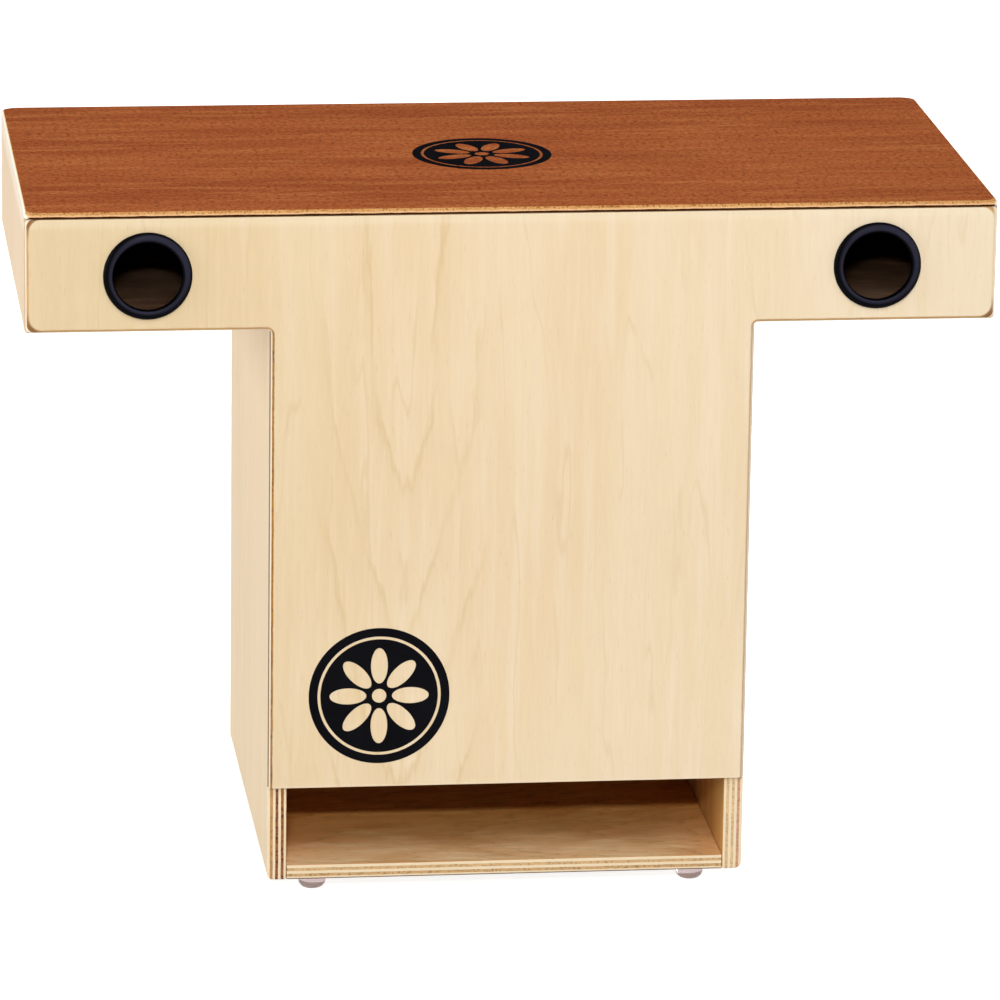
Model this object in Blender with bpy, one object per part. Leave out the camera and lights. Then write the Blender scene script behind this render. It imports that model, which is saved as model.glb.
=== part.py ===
"""A slaptop cajon: a T-shaped box drum played on its top with both hands.

The player sits with the stem between the knees. X runs along the wings, -Y is the side with the
sound ports, +Y faces the player and Z is up. The origin is on the floor under the middle of the
drum. Thin panels close the front, the back and the top of a frame of thick plywood boards.
"""
import math

import bmesh
import bpy
from mathutils import Matrix, Vector

# Overall sizes, in metres
WIDTH = 0.600             # wing end to wing end
DEPTH = 0.298             # front face to back face of the box
STEM_WIDTH = 0.300        # the part between the knees
WING_HEIGHT = 0.072       # height of a wing's box, without the playing surface
STEM_HEIGHT = 0.3557      # underside of the box to the underside of the wings
FOOT_HEIGHT = 0.0113      # floor to the underside of the box
JOINT_GAP = 0.0003        # clearance between pieces that touch

# Boards and panels
WALL = 0.012              # seven-ply boards of the frame
FLOOR_THICKNESS = 0.0092  # five-ply floor of the stem
PANEL = 0.004             # three-ply front and back panels
PANEL_INSET = 0.0007      # from the boards' outer faces to the panels' edges
TOP_THICKNESS = 0.0038    # playing surface
PORT_OPENING = 0.052      # height of the bass port, above the floor board
LEDGER_HEIGHT = 0.010     # glue strips under the playing surface
LEDGER_DEPTH = 0.012

# Rounded edges
PANEL_ROUND = 0.0028      # outer edges of the front and back panels
PANEL_END_EASE = 0.0004   # their edges under the playing surface and over the bass port
TOP_ROUND = 0.0026        # upper edge of the playing surface
CORNER_ROUND = 0.0030     # outer corners at the edge, seen square on
CORNER_SANDING = 0.0065   # the same corners at the face, where they are sanded further in
NOTCH_ROUND = 0.0020      # inner corners between wing and stem
FOOT_EDGE_ROUND = 0.0040  # lower outer edges of the stem's sides
WING_EDGE_ROUND = 0.0025  # lower outer edges of the wing ends
BOARD_EASE = 0.0006       # eased edges of the boards

# Sound ports in the wings
PORT_APERTURE = 0.0425    # clear diameter
PORT_TUBE_WALL = 0.0022
PORT_TUBE_LENGTH = 0.006  # behind the front face
PORT_LIP_DIAMETER = 0.0545
PORT_LIP_PROUD = 0.0032   # in front of the front face

# Feet
FOOT_DIAMETER = 0.0174
FOOT_FLAT = 0.0090        # diameter of the flat that stands on the floor
FOOT_ROUND = 0.0048       # height of the rounded lower edge
FOOT_SIDE_INSET = 0.030   # foot centre from the stem's side face
FOOT_INSET = 0.024        # foot centre from the front or back face

# Snares under the playing surface
BAR_WIDTH = 0.018
BAR_HEIGHT = 0.016
STRAND_COUNT = 10
STRAND_PITCH = 0.009
STRAND_DIAMETER = 0.0022
STRAND_END_GAP = 0.020    # from the strands' free ends to the wing end
STRAND_GRIP = 0.008       # length held in the clip
STRAND_RISE = 0.024       # run over which a strand rises from the clip to the playing surface
STRAND_CLEARANCE = 0.0005
SOLDER_STRIP = 0.0008     # thickness of the strip that the strands are soldered to
CLIP_WALL = 0.0008
CLIP_WIDTH = 0.014
CLIP_SCREW_MARGIN = 0.008  # screw centre from the clip's end, and from the outermost strand
SCREW_DIAMETER = 0.0032
SCREW_HEAD_DIAMETER = 0.0064
SCREW_HEAD_HEIGHT = 0.0020
SCREW_HEAD_RIM = 0.0008   # height of the head's upright edge
SCREW_CROWN_DIAMETER = 0.0044
SCREW_POINT_DIAMETER = 0.0006
SCREW_LENGTH = 0.012      # under the head

# Heights and planes that follow from the sizes
UNDERSIDE = FOOT_HEIGHT
FLOOR_TOP = UNDERSIDE + FLOOR_THICKNESS
WING_UNDERSIDE = UNDERSIDE + STEM_HEIGHT
WING_FLOOR_TOP = WING_UNDERSIDE + WALL
FRAME_TOP = WING_UNDERSIDE + WING_HEIGHT
SURFACE_UNDERSIDE = FRAME_TOP + JOINT_GAP
PANEL_LOWER_EDGE = FLOOR_TOP + PORT_OPENING
PORT_Z = WING_UNDERSIDE + WING_HEIGHT / 2
PORT_X = (WIDTH + STEM_WIDTH) / 4
FOOT_X = STEM_WIDTH / 2 - FOOT_SIDE_INSET
FRONT_Y = (PORT_LIP_PROUD + JOINT_GAP - DEPTH) / 2
BACK_Y = FRONT_Y + DEPTH
MIDDLE_Y = (FRONT_Y + BACK_Y) / 2
BOARD_FRONT_Y = FRONT_Y + PANEL + JOINT_GAP
BOARD_BACK_Y = BACK_Y - PANEL - JOINT_GAP
LEDGER_UNDERSIDE = FRAME_TOP - LEDGER_HEIGHT
BAR_TOP = LEDGER_UNDERSIDE - JOINT_GAP
PORT_TUBE_RADIUS = PORT_APERTURE / 2 + PORT_TUBE_WALL
PORT_BORE_RADIUS = PORT_TUBE_RADIUS + JOINT_GAP
STRAND_SPAN = (STRAND_COUNT - 1) * STRAND_PITCH
SCREW_Y = STRAND_SPAN / 2 + CLIP_SCREW_MARGIN
CLIP_LENGTH = 2 * (SCREW_Y + CLIP_SCREW_MARGIN)
CLIP_SLOT = STRAND_DIAMETER + 2 * JOINT_GAP
CLIP_HEIGHT = CLIP_SLOT + 2 * CLIP_WALL
CLIP_BASE = BAR_TOP + JOINT_GAP
STRAND_SEAT_Z = CLIP_BASE + CLIP_HEIGHT / 2
SCREW_PLACES = (MIDDLE_Y - SCREW_Y, MIDDLE_Y + SCREW_Y)
SCREW_HOLE_RADIUS = SCREW_DIAMETER / 2 + JOINT_GAP

# Facets
ARC_STEPS = 5
ROUND_STEPS = 4
PORT_SIDES = 48
FOOT_SIDES = 28
SCREW_SIDES = 14
STRAND_SIDES = 6
CIRCULAR = 0.5            # profile of a rounded edge
SMOOTH_ANGLE = math.radians(40)
SAME_PLACE = 1e-6

SIDES = {"left": -1, "right": 1}


def clear_scene():
    for obj in list(bpy.data.objects):
        bpy.data.objects.remove(obj, do_unlink=True)


def finish(name, colour, roughness, metallic=0.0, alpha=1.0):
    """Makes a Principled material for one sub-part."""
    material = bpy.data.materials.new(name)
    material.use_nodes = True
    shader = material.node_tree.nodes["Principled BSDF"]
    shader.inputs["Base Color"].default_value = (*colour, 1.0)
    shader.inputs["Roughness"].default_value = roughness
    shader.inputs["Metallic"].default_value = metallic
    shader.inputs["Alpha"].default_value = alpha
    return material


# Colours, in linear light
MAPLE = (0.80, 0.66, 0.46)
BIRCH = (0.74, 0.58, 0.38)
MAHOGANY = (0.36, 0.10, 0.035)
SPRUCE = (0.70, 0.52, 0.32)
BLACK = (0.012, 0.012, 0.016)
CLEAR = (0.62, 0.56, 0.58)
STEEL = (0.62, 0.62, 0.64)


def maple(name):
    return finish(name + "_maple", MAPLE, 0.38)


def birch(name):
    return finish(name + "_birch", BIRCH, 0.5)


def spruce(name):
    return finish(name + "_spruce", SPRUCE, 0.6)


def black_plastic(name):
    return finish(name + "_plastic", BLACK, 0.3)


def clear_plastic(name):
    return finish(name + "_clear_plastic", CLEAR, 0.12, alpha=0.6)


def steel(name):
    return finish(name + "_steel", STEEL, 0.28, metallic=1.0)


def add_object(name, mesh_data, material):
    """Turns a finished bmesh into a named object with its material."""
    bmesh.ops.recalc_face_normals(mesh_data, faces=mesh_data.faces)
    mesh = bpy.data.meshes.new(name)
    mesh_data.to_mesh(mesh)
    mesh_data.free()
    obj = bpy.data.objects.new(name, mesh)
    bpy.context.collection.objects.link(obj)
    mesh.materials.append(material)
    return obj


def shade_round(obj):
    obj.data.shade_smooth()
    obj.data.set_sharp_from_angle(angle=SMOOTH_ANGLE)


def board_mesh(low, high):
    """A box between two corners, as a bmesh."""
    data = bmesh.new()
    bmesh.ops.create_cube(data, size=1.0)
    low, high = Vector(low), Vector(high)
    size = high - low
    centre = (low + high) / 2
    bmesh.ops.scale(data, vec=size, verts=data.verts)
    bmesh.ops.translate(data, vec=centre, verts=data.verts)
    return data


def round_edges(data, test, width, steps=1):
    """Bevels the edges whose two ends pass the test."""
    edges = [e for e in data.edges if all(test(v.co) for v in e.verts)]
    bmesh.ops.bevel(data, geom=edges, offset=width, segments=steps, profile=CIRCULAR, affect="EDGES",
                    clamp_overlap=True)


def near(value, target):
    return abs(value - target) < SAME_PLACE


def rounded_outline(corners):
    """Points round a closed outline of (x, z, radius) corners, with an arc at each corner."""
    points = []
    count = len(corners)
    for index, (x, z, radius) in enumerate(corners):
        here = Vector((x, z))
        before = Vector(corners[index - 1][:2])
        after = Vector(corners[(index + 1) % count][:2])
        way_in = (before - here).normalized()
        way_out = (after - here).normalized()
        centre = here + (way_in + way_out) * radius
        start = here + way_in * radius - centre
        turn = start.angle_signed(here + way_out * radius - centre)
        for step in range(ARC_STEPS + 1):
            arm = start.copy()
            arm.rotate(Matrix.Rotation(-turn * step / ARC_STEPS, 2))
            points.append(centre + arm)
    return points


def bridge(data, first, second):
    """Joins two closed loops of vertices, which have the same count, with a band of faces."""
    count = len(first)
    for index in range(count):
        after = (index + 1) % count
        data.faces.new((first[index], first[after], second[after], second[index]))


def eased_plate(face, edge, place, thickness, depth):
    """A plate whose face outline runs over a rounded arris, of the given depth, to its edge outline.

    place turns an outline point and its depth behind the face into a point in space.
    """
    data = bmesh.new()
    loops = []
    for step in range(ROUND_STEPS + 1):
        angle = math.pi / 2 * step / ROUND_STEPS
        behind = depth * (1 - math.cos(angle))
        loops.append([data.verts.new(place(a.lerp(b, math.sin(angle)), behind)) for a, b in zip(face, edge)])
    loops.append([data.verts.new(place(point, thickness)) for point in edge])
    data.faces.new(loops[0])
    data.faces.new(loops[-1])
    for first, second in zip(loops, loops[1:]):
        bridge(data, first, second)
    return data


def turned_mesh(profile, sides, centre, axis_turn):
    """Spins a closed profile of (radius, height) round Z, then turns and places it."""
    data = bmesh.new()
    rings = []
    for radius, height in profile:
        if radius < SAME_PLACE:
            rings.append([data.verts.new((0, 0, height))])
            continue
        ring = []
        for step in range(sides):
            angle = 2 * math.pi * step / sides
            ring.append(data.verts.new((radius * math.cos(angle), radius * math.sin(angle), height)))
        rings.append(ring)
    for first, second in zip(rings, rings[1:] + rings[:1]):
        if len(first) == 1 and len(second) == 1:
            continue
        for step in range(sides):
            after = (step + 1) % sides
            corners = [first[step % len(first)], first[after % len(first)],
                       second[after % len(second)], second[step % len(second)]]
            data.faces.new(list(dict.fromkeys(corners)))
    bmesh.ops.transform(data, matrix=Matrix.Translation(centre) @ axis_turn, verts=data.verts)
    return data


def arc(centre, radius, start, end, steps):
    """Points (x, y) along an arc, angles in degrees."""
    for step in range(steps + 1):
        angle = math.radians(start + (end - start) * step / steps)
        yield centre[0] + radius * math.cos(angle), centre[1] + radius * math.sin(angle)


def cutter(name, radius, depth, sides, centre, axis_turn):
    """A hidden round cutter for a Boolean."""
    profile = [(0.0, -depth / 2), (radius, -depth / 2), (radius, depth / 2), (0.0, depth / 2)]
    data = turned_mesh(profile, sides, centre, axis_turn)
    obj = add_object(name, data, steel(name))
    obj.hide_render = True
    obj.display_type = "WIRE"
    return obj


def cut(obj, tool):
    boolean = obj.modifiers.new("cut_" + tool.name, "BOOLEAN")
    boolean.operation = "DIFFERENCE"
    boolean.solver = "EXACT"
    boolean.object = tool


UPRIGHT = Matrix.Identity(4)
FACING_FRONT = Matrix.Rotation(math.radians(90), 4, "X")  # +Z of a turned shape becomes -Y


def t_outline(lower, lower_corner, inset, top, corner):
    """The T-shaped outline, anticlockwise from the lower left of the stem, set in from the boards' faces."""
    half, stem = WIDTH / 2 - inset, STEM_WIDTH / 2 - inset
    under_wing = WING_UNDERSIDE + inset
    notch = NOTCH_ROUND + inset
    return rounded_outline([
        (-stem, lower, lower_corner), (stem, lower, lower_corner), (stem, under_wing, notch),
        (half, under_wing, corner), (half, top, corner), (-half, top, corner),
        (-half, under_wing, corner), (-stem, under_wing, notch)])


def t_panel(name, lower_edge, lower_ease, lower_corner, face_y, inwards):
    """A thin T-shaped panel with a sanded outer arris. inwards is the way from its face, along Y."""
    face = t_outline(lower_edge + lower_ease, lower_corner, PANEL_INSET + PANEL_ROUND,
                     FRAME_TOP - PANEL_END_EASE, CORNER_SANDING)
    edge = t_outline(lower_edge, lower_corner, PANEL_INSET, FRAME_TOP, CORNER_ROUND)
    data = eased_plate(face, edge, lambda p, behind: (p.x, face_y + inwards * behind, p.y),
                       PANEL, PANEL_ROUND)
    return add_object(name, data, maple(name))


def make_front_panel():
    """The panel with the sound ports, which stops above the bass port."""
    panel = t_panel("front_panel", PANEL_LOWER_EDGE, PANEL_END_EASE, BOARD_EASE, FRONT_Y, 1)
    for side, sign in SIDES.items():
        centre = (sign * PORT_X, FRONT_Y + PANEL / 2, PORT_Z)
        cut(panel, cutter("port_cutter_" + side, PORT_BORE_RADIUS, 3 * PANEL, PORT_SIDES, centre,
                          FACING_FRONT))


def make_back_panel():
    """The player's side: the same T, closed down to the underside of the box."""
    t_panel("back_panel", UNDERSIDE, PANEL_ROUND, FOOT_EDGE_ROUND, BACK_Y, -1)


def surface_outline(inset, corner):
    half = WIDTH / 2 - inset
    front, back = FRONT_Y + inset, BACK_Y - inset
    return rounded_outline([(-half, front, corner), (half, front, corner),
                            (half, back, corner), (-half, back, corner)])


def make_playing_surface():
    top = SURFACE_UNDERSIDE + TOP_THICKNESS
    data = eased_plate(surface_outline(TOP_ROUND, CORNER_SANDING), surface_outline(0.0, CORNER_ROUND),
                       lambda p, behind: (p.x, p.y, top - behind), TOP_THICKNESS, TOP_ROUND)
    add_object("playing_surface", data, finish("playing_surface_mahogany", MAHOGANY, 0.35))


def make_stem_side(side, sign):
    outer, inner = sign * STEM_WIDTH / 2, sign * (STEM_WIDTH / 2 - WALL)
    data = board_mesh((min(outer, inner), BOARD_FRONT_Y, UNDERSIDE),
                      (max(outer, inner), BOARD_BACK_Y, WING_UNDERSIDE - JOINT_GAP))
    round_edges(data, lambda co: near(co.x, outer) and near(co.z, UNDERSIDE), FOOT_EDGE_ROUND, ROUND_STEPS)
    round_edges(data, lambda co: near(co.x, outer) and near(co.y, BOARD_FRONT_Y), BOARD_EASE)
    add_object("stem_side_" + side, data, maple("stem_side_" + side))


def make_wing_end(side, sign):
    outer, inner = sign * WIDTH / 2, sign * (WIDTH / 2 - WALL)
    data = board_mesh((min(outer, inner), BOARD_FRONT_Y, WING_UNDERSIDE),
                      (max(outer, inner), BOARD_BACK_Y, FRAME_TOP))
    round_edges(data, lambda co: near(co.x, outer) and near(co.z, WING_UNDERSIDE), WING_EDGE_ROUND,
                ROUND_STEPS)
    round_edges(data, lambda co: near(co.x, outer) and near(co.y, BOARD_FRONT_Y), BOARD_EASE)
    add_object("wing_end_" + side, data, maple("wing_end_" + side))


def make_wing_floor(side, sign):
    """Rests on the stem's side and butts against the wing end."""
    outer = sign * (WIDTH / 2 - WALL - JOINT_GAP)
    inner = sign * (STEM_WIDTH / 2 - WALL)
    data = board_mesh((min(outer, inner), BOARD_FRONT_Y, WING_UNDERSIDE),
                      (max(outer, inner), BOARD_BACK_Y, WING_FLOOR_TOP))
    add_object("wing_floor_" + side, data, maple("wing_floor_" + side))


def make_bottom_panel():
    """Floor of the stem, between its sides. Its front edge is the sill of the bass port."""
    half = STEM_WIDTH / 2 - WALL - JOINT_GAP
    data = board_mesh((-half, BOARD_FRONT_Y, UNDERSIDE), (half, BOARD_BACK_Y, FLOOR_TOP))
    add_object("bottom_panel", data, birch("bottom_panel"))


def make_ledger(name, near_y, direction):
    """Glue strip behind a panel's upper edge, under the playing surface."""
    half = WIDTH / 2 - WALL - JOINT_GAP
    far_y = near_y + direction * LEDGER_DEPTH
    data = board_mesh((-half, min(near_y, far_y), LEDGER_UNDERSIDE), (half, max(near_y, far_y), FRAME_TOP))
    round_edges(data, lambda co: near(co.y, far_y) and near(co.z, LEDGER_UNDERSIDE), 3 * BOARD_EASE)
    add_object(name, data, spruce(name))


def make_port_ring(side, sign):
    """A turned sleeve with a rounded lip that covers the edge of its hole."""
    bore = PORT_APERTURE / 2
    lip = PORT_LIP_DIAMETER / 2
    seat = JOINT_GAP
    lip_round = PORT_LIP_PROUD / 2
    mid = lip_round + seat
    profile = [(bore, -PORT_TUBE_LENGTH)]
    profile += arc((bore + lip_round, seat + lip_round), lip_round, 180, 90, ROUND_STEPS)
    profile += arc((lip - lip_round, mid), lip_round, 90, 0, ROUND_STEPS)
    profile += [(lip - BOARD_EASE, seat), (PORT_TUBE_RADIUS, seat), (PORT_TUBE_RADIUS, -PORT_TUBE_LENGTH)]
    data = turned_mesh(profile, PORT_SIDES, (sign * PORT_X, FRONT_Y, PORT_Z), FACING_FRONT)
    ring = add_object("port_ring_" + side, data, black_plastic("port_ring_" + side))
    shade_round(ring)


def make_foot(name, x, y):
    """A clear domed bumper with a small flat to stand on."""
    seat = UNDERSIDE - JOINT_GAP
    radius = FOOT_DIAMETER / 2
    flat = FOOT_FLAT / 2
    profile = [(0.0, seat), (radius, seat)]
    steps = 2 * ROUND_STEPS
    for step in range(steps + 1):
        angle = math.pi / 2 * step / steps
        profile.append((flat + (radius - flat) * math.cos(angle), FOOT_ROUND * (1 - math.sin(angle))))
    profile.append((0.0, 0.0))
    foot = add_object(name, turned_mesh(profile, FOOT_SIDES, (x, y, 0), UPRIGHT), clear_plastic(name))
    shade_round(foot)


def make_snare_bar(side, sign):
    """Wooden bar across the wing's mouth, glued under the ledgers, that carries the snare."""
    inner = sign * STEM_WIDTH / 2
    outer = sign * (STEM_WIDTH / 2 + BAR_WIDTH)
    data = board_mesh((min(inner, outer), BOARD_FRONT_Y, BAR_TOP - BAR_HEIGHT),
                      (max(inner, outer), BOARD_BACK_Y, BAR_TOP))
    bar = add_object("snare_bar_" + side, data, spruce("snare_bar_" + side))
    for number, y in enumerate(SCREW_PLACES):
        hole = cutter(f"pilot_cutter_{side}_{number}", SCREW_HOLE_RADIUS, 2 * SCREW_LENGTH, SCREW_SIDES,
                      (screw_x(sign), y, BAR_TOP), UPRIGHT)
        cut(bar, hole)


def screw_x(sign):
    """The clip is centred on its bar."""
    return sign * (STEM_WIDTH / 2 + BAR_WIDTH / 2)


def make_snare_clip(side, sign):
    """A folded steel strip, closed towards the stem, that grips the strands' ends."""
    back = screw_x(sign) - sign * CLIP_WIDTH / 2
    mouth = screw_x(sign) + sign * CLIP_WIDTH / 2
    low, high = CLIP_BASE, CLIP_BASE + CLIP_HEIGHT
    web = back + sign * CLIP_WALL
    section = [(back, low), (mouth, low), (mouth, low + CLIP_WALL), (web, low + CLIP_WALL),
               (web, high - CLIP_WALL), (mouth, high - CLIP_WALL), (mouth, high), (back, high)]
    data = bmesh.new()
    ends = [[data.verts.new((x, y, z)) for x, z in section]
            for y in (MIDDLE_Y - CLIP_LENGTH / 2, MIDDLE_Y + CLIP_LENGTH / 2)]
    data.faces.new(ends[0])
    data.faces.new(ends[1])
    bridge(data, *ends)
    clip = add_object("snare_clip_" + side, data, steel("snare_clip_" + side))
    for number, y in enumerate(SCREW_PLACES):
        hole = cutter(f"clip_cutter_{side}_{number}", SCREW_HOLE_RADIUS, 4 * CLIP_HEIGHT, SCREW_SIDES,
                      (screw_x(sign), y, CLIP_BASE), UPRIGHT)
        cut(clip, hole)


def make_snare_screw(name, sign, y):
    """A pan-head screw, one of two that hold a clip on its bar."""
    seat = CLIP_BASE + CLIP_HEIGHT + JOINT_GAP
    head, shank = SCREW_HEAD_DIAMETER / 2, SCREW_DIAMETER / 2
    tip = seat - SCREW_LENGTH
    top = seat + SCREW_HEAD_HEIGHT
    profile = [(0.0, tip), (SCREW_POINT_DIAMETER / 2, tip), (shank, tip + SCREW_DIAMETER), (shank, seat),
               (head, seat), (head, seat + SCREW_HEAD_RIM), (SCREW_CROWN_DIAMETER / 2, top), (0.0, top)]
    data = turned_mesh(profile, SCREW_SIDES, (screw_x(sign), y, 0), UPRIGHT)
    add_object(name, data, steel(name))


def strand_path(sign):
    """Centre line of a strand as (x, z): held in the clip, up to the surface and out along it."""
    mouth = screw_x(sign) + sign * CLIP_WIDTH / 2
    under_surface = SURFACE_UNDERSIDE - STRAND_CLEARANCE - STRAND_DIAMETER / 2
    end = sign * (WIDTH / 2 - WALL - STRAND_END_GAP)
    return [(mouth - sign * STRAND_GRIP, STRAND_SEAT_Z), (mouth, STRAND_SEAT_Z),
            (mouth + sign * STRAND_RISE, under_surface), (end, under_surface)]


def add_strand(data, path, y):
    """Adds one closed tube along the path to the mesh."""
    rings = []
    for x, z in path:
        ring = []
        for step in range(STRAND_SIDES):
            angle = 2 * math.pi * (step + 0.5) / STRAND_SIDES
            across = STRAND_DIAMETER / 2 * math.cos(angle)
            up = STRAND_DIAMETER / 2 * math.sin(angle)
            ring.append(data.verts.new((x, y + across, z + up)))
        rings.append(ring)
    data.faces.new(rings[0])
    data.faces.new(rings[-1])
    for first, second in zip(rings, rings[1:]):
        bridge(data, first, second)


def make_snare_wires(side, sign):
    """A row of strands soldered to a strip, which lie against the underside of the playing surface."""
    path = strand_path(sign)
    (start, _), (mouth, _) = path[:2]
    half = STRAND_SPAN / 2 + STRAND_DIAMETER
    low = (min(start, mouth), MIDDLE_Y - half, STRAND_SEAT_Z - SOLDER_STRIP / 2)
    high = (max(start, mouth), MIDDLE_Y + half, STRAND_SEAT_Z + SOLDER_STRIP / 2)
    wires = add_object("snare_wires_" + side, board_mesh(low, high), steel("snare_wires_" + side))
    data = bmesh.new()
    past_strip = (start - sign * SOLDER_STRIP, STRAND_SEAT_Z)
    for number in range(STRAND_COUNT):
        add_strand(data, [past_strip] + path[1:], MIDDLE_Y + (number - (STRAND_COUNT - 1) / 2) * STRAND_PITCH)
    strands = add_object("strand_shapes_" + side, data, steel("strand_shapes_" + side))
    strands.hide_render = True
    strands.display_type = "WIRE"
    union = wires.modifiers.new("strands", "BOOLEAN")
    union.operation = "UNION"
    union.solver = "EXACT"
    union.object = strands


def main():
    clear_scene()
    make_playing_surface()
    make_front_panel()
    make_back_panel()
    make_bottom_panel()
    make_ledger("front_ledger", BOARD_FRONT_Y, 1)
    make_ledger("back_ledger", BOARD_BACK_Y, -1)
    for side, sign in SIDES.items():
        make_stem_side(side, sign)
        make_wing_floor(side, sign)
        make_wing_end(side, sign)
        make_port_ring(side, sign)
        make_snare_bar(side, sign)
        make_snare_clip(side, sign)
        make_snare_screw(f"snare_screw_{side}_front", sign, SCREW_PLACES[0])
        make_snare_screw(f"snare_screw_{side}_back", sign, SCREW_PLACES[1])
        make_snare_wires(side, sign)
        make_foot("foot_front_" + side, sign * FOOT_X, FRONT_Y + FOOT_INSET)
        make_foot("foot_back_" + side, sign * FOOT_X, BACK_Y - FOOT_INSET)


main()
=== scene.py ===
"""Looks of the slaptop cajon: veneered boards and panels, printed discs, port rings, feet and snares."""
import math

import bmesh
import bpy
from mathutils import Matrix, Vector


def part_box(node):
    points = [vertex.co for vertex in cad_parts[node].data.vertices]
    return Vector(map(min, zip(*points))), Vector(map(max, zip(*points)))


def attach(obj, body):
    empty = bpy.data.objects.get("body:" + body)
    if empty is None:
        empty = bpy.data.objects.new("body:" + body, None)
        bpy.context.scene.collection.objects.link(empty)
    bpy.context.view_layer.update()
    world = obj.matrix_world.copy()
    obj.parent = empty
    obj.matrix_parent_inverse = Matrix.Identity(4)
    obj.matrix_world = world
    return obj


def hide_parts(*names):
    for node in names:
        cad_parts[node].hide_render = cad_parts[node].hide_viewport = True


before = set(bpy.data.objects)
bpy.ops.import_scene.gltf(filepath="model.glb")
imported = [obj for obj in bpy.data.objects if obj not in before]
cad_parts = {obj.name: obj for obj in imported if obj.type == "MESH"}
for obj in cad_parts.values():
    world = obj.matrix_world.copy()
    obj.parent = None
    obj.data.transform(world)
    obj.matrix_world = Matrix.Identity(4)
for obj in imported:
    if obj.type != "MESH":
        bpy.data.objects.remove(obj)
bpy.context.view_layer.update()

BODY = "root"
SIDES = {"left": -1, "right": 1}

# Shapes, in metres
PANEL_ROUND = 0.0028      # outer edges of the front and back panels
PANEL_END_EASE = 0.0004   # their edges under the playing surface and over the bass port
CORNER_ROUND = 0.0030     # their outer corners at the edge, seen square on
CORNER_SANDING = 0.0090   # the same corners at the face, where they are sanded further in
NOTCH_ROUND = 0.0020      # their inner corners between wing and stem
TOP_ROUND = 0.0026        # upper edge of the playing surface
TOP_CORNER_ROUND = 0.0045    # its corners at the edge, seen from above
TOP_CORNER_SANDING = 0.0120  # the same corners at its upper face
FOOT_EDGE_ROUND = 0.0040  # lower outer edges of the stem's sides
WING_EDGE_ROUND = 0.0025  # lower outer edges of the wing ends
BOARD_EASE = 0.0006       # other edges of the boards
BACK_EASE = 0.0002        # glued edges
PORT_CLEARANCE = 0.0003   # between a port ring's sleeve and its hole
PORT_TUBE_WALL = 0.0022
PORT_TUBE_FLARE = 0.0016  # how much wider a ring's sleeve is at its inner end
RING_LIP_WIDTH = 0.0060   # from a port's aperture to the rim of its ring
RING_SEAT = 0.0003        # from the panel's face to the back of a ring's lip
RING_LEAN = 1.7           # above 1, the crest of a ring's lip lies nearer to its bore
RING_FULLNESS = 0.8       # below 1, the lip is fuller than a half round
FOOT_FLAT = 0.0090        # diameter of the flat that a foot stands on
FOOT_ROUND = 0.0048       # height of a foot's rounded lower edge
FOOT_RIM = 0.0003         # chamfer round a foot's upper face

# Printing
INK = 0.0001
DISC_DIAMETER = 0.088
FRONT_DISC_X = -0.081
FRONT_DISC_RISE = 0.0595  # above the front panel's lower edge
TOP_DISC_X = -0.004
TOP_DISC_BACK = 0.1456    # behind the front face
TOP_DISC_TURN = math.radians(22.5)

# Snare strands
STRAND_COUNT = 10
STRAND_PITCH = 0.009
STRAND_COIL_RADIUS = 0.00085
WIRE_RADIUS = 0.00025
COIL_PITCH = 0.00125
STRAND_GRIP = 0.0088      # length of a strand inside the clip
STRAND_RISE = 0.024       # run over which it rises to the playing surface
STRIP_LENGTH = 0.008      # of the strip that the strands are soldered to, along them
STRIP_THICKNESS = 0.0008
STRIP_WIDTH = (STRAND_COUNT - 1) * STRAND_PITCH + 4 * (STRAND_COIL_RADIUS + WIRE_RADIUS)

# Wood
LATE_WOOD = 0.92          # place of the dark line in each ring
HEART_WIDTH = 0.0060      # of the innermost arches in a veneer's figure
CROSSBAND = (0.00012, 0.00098)  # depth of the brown ply under a panel's face veneer
CROSSBAND_BLUR = 0.00010
LACQUER_SPECULAR = 0.30

# Fineness of the meshes
CORNER_STEPS = 8
ARRIS_STEPS = 10
END_STEPS = 3
BACK_STEPS = 2
TURNED_SIDES = 128
RING_STEPS = 24
FOOT_SIDES = 64
FOOT_STEPS = 16
DISC_SIDES = 160
PETAL_SIDES = 48          # of a printed disc's petals and its heart
COIL_STEPS = 8            # in one turn of a snare strand
WIRE_SIDES = 4
SMOOTH_ANGLE = 40         # degrees, over which the edges of a turned piece stay sharp

# Axes of a board: across its grain, along it and through its thickness
FACING_FRONT = ("X", "Z", "Y")
FACING_SIDE = ("Y", "Z", "X")
FACING_UP = ("Y", "X", "Z")

# Camera, as fitted to the photograph's corners
CAMERA_PLACE = (-0.4973, -4.1398, 1.3961)
CAMERA_TURN = math.radians(7.00)
CAMERA_TILT = math.radians(15.81)
CAMERA_ROLL = math.radians(0.84)
CAMERA_LENS = 243.5

# Light, where 1 is white. Each lamp has its place, its size and its watts
SKY = 0.14
FLOOR_GLOW = 0.85
FLOOR_GREY = (0.60, 0.60, 0.60, 1.0)
LAMP_AIM = (0.0, 0.0, 0.24)
LAMPS = {
    "key": ((-0.5, -3.6, 1.78), (0.35, 0.14), 48.0),
    "upper_key": ((-0.1, -2.08, 2.35), (1.2, 1.5), 29.0),
    "left_fill": ((-2.9, -0.5, 0.8), (1.4, 1.4), 37.0),
    "right_fill": ((2.6, -1.4, 0.9), (1.4, 1.4), 10.0),
    "right_back_fill": ((2.7, 0.9, 0.6), (1.2, 1.2), 27.0),
    "back_fill": ((0.3, 3.2, 1.3), (1.6, 1.6), 36.0),
    "overhead": ((-0.3, 0.5, 2.4), (2.0, 1.4), 16.0)}

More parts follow.
